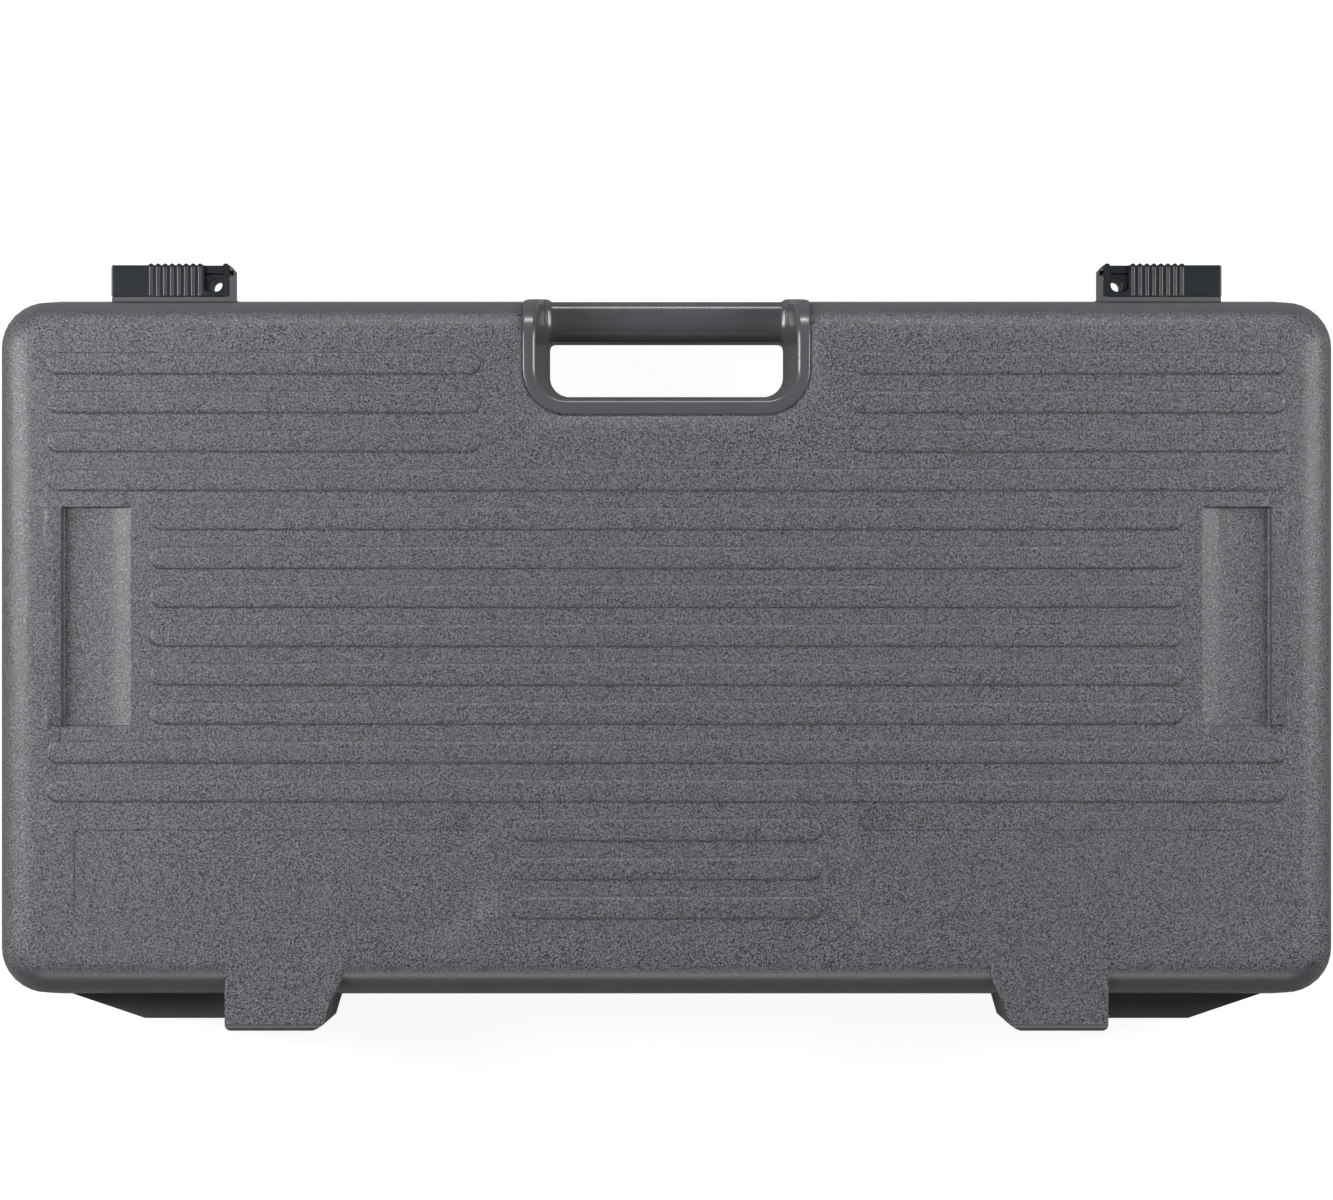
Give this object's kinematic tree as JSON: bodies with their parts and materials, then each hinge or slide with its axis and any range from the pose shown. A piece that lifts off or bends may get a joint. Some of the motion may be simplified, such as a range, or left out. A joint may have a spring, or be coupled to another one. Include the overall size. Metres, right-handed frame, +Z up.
{
  "type": "guitar pedal case",
  "caption": "Flat two-part moulded carrying case for guitar pedals, with hinged lid, sliding latches, a through handle and fitted foam.",
  "frame": {"origin": "centre of the bounding box at the underside of the rubber feet, the case lying flat on its back", "axes": "+Z up through the lid, +X along the width, -Y towards the handle and the latches, +Y towards the hinges"},
  "size_m": [0.675, 0.3864, 0.133],
  "materials": {
    "shell_plastic": "pebble grain, matt",
    "latch_plastic": "smooth, satin",
    "foam": "open-cell foam",
    "steel": "plated",
    "foot_rubber": "matt"
  },
  "bodies": {
    "base": {"base_shell": "shell_plastic", "base_foam_left": "foam", "base_foam_middle": "foam", "base_foam_right": "foam", "hinge_pin_left": "steel", "hinge_pin_right": "steel", "base_keeper_left": "latch_plastic", "base_keeper_right": "latch_plastic", "base_keeper_screws": "steel", "rubber_feet": "foot_rubber", "foot_screws": "steel"},
    "lid": {"lid_shell": "shell_plastic", "lid_foam_pad": "foam", "lid_keeper_left": "latch_plastic", "lid_keeper_right": "latch_plastic", "latch_spring_left": "steel", "latch_spring_right": "steel", "lid_keeper_screws": "steel"},
    "slider_left": {"latch_slider_left": "latch_plastic"},
    "slider_right": {"latch_slider_right": "latch_plastic"}
  },
  "joints": [
    {"name": "lid_hinge", "type": "hinge", "parent": "base", "child": "lid", "pos_m": [0, 0.18685, 0.072], "axis": [-1, 0, 0], "range_deg": [0, 180]},
    {"name": "latch_left_slide", "type": "slide", "parent": "lid", "child": "slider_left", "axis": [-1, 0, 0], "range_m": [0, 0.012]},
    {"name": "latch_right_slide", "type": "slide", "parent": "lid", "child": "slider_right", "axis": [1, 0, 0], "range_m": [0, 0.012]}
  ]
}
